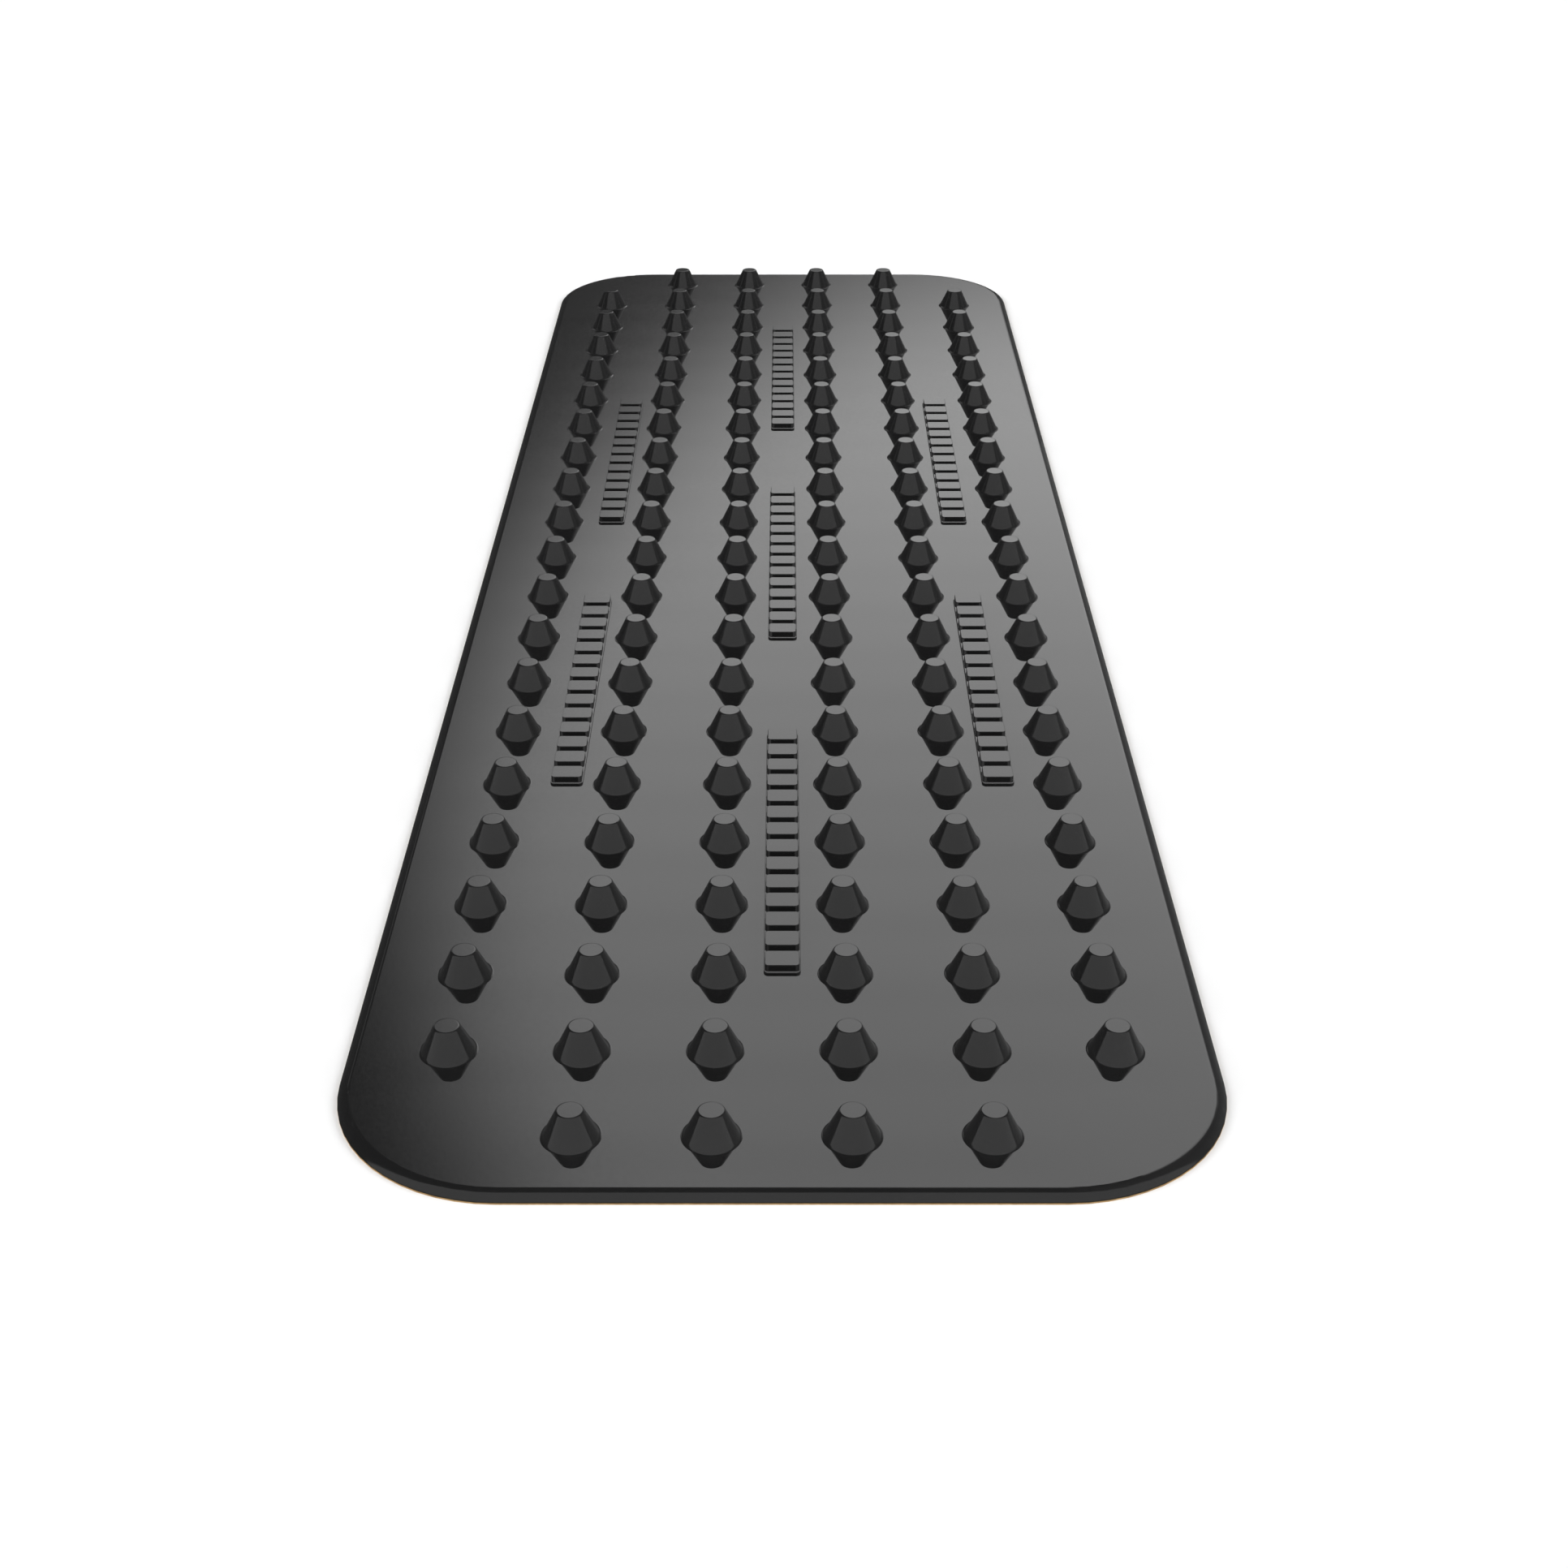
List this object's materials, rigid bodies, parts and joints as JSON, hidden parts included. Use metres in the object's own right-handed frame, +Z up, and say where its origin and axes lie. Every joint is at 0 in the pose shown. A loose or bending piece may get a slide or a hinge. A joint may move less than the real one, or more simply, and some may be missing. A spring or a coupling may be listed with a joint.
{
  "type": "snowboard stomp pad",
  "caption": "Long stick-on traction pad for a snowboard deck: thin rounded sheet with a field of undercut spikes, raised tread strips, adhesive film and release liner.",
  "frame": {"origin": "middle of the underside of the release liner, on the surface that the pad lies on", "axes": "+X across the pad, +Y along the pad towards the end with the wider clear margin, +Z up out of the spikes"},
  "size_m": [0.0666, 0.2172, 0.0053],
  "materials": {
    "grip_rubber": "satin",
    "adhesive": "gloss",
    "liner_paper": "matte"
  },
  "bodies": {
    "liner": {"release_liner": "liner_paper"},
    "pad": {"base_sheet": "grip_rubber", "spike_row_01": "grip_rubber", "spike_row_02": "grip_rubber", "spike_row_03": "grip_rubber", "spike_row_04": "grip_rubber", "spike_row_05": "grip_rubber", "spike_row_06": "grip_rubber", "spike_row_07": "grip_rubber", "spike_row_08": "grip_rubber", "spike_row_09": "grip_rubber", "spike_row_10": "grip_rubber", "spike_row_11": "grip_rubber", "spike_row_12": "grip_rubber", "spike_row_13": "grip_rubber", "spike_row_14": "grip_rubber", "spike_row_15": "grip_rubber", "spike_row_16": "grip_rubber", "spike_row_17": "grip_rubber", "spike_row_18": "grip_rubber", "spike_row_19": "grip_rubber", "spike_row_20": "grip_rubber", "spike_row_21": "grip_rubber", "tread_strip_centre_front": "grip_rubber", "tread_strip_centre_middle": "grip_rubber", "tread_strip_centre_back": "grip_rubber", "tread_strip_left_front": "grip_rubber", "tread_strip_left_back": "grip_rubber", "tread_strip_right_front": "grip_rubber", "tread_strip_right_back": "grip_rubber", "adhesive_film": "adhesive"}
  },
  "joints": [
    {"name": "pad_lift", "type": "slide", "parent": "liner", "child": "pad", "axis": [0, 0, 1], "range_m": [0, 0.06]}
  ]
}
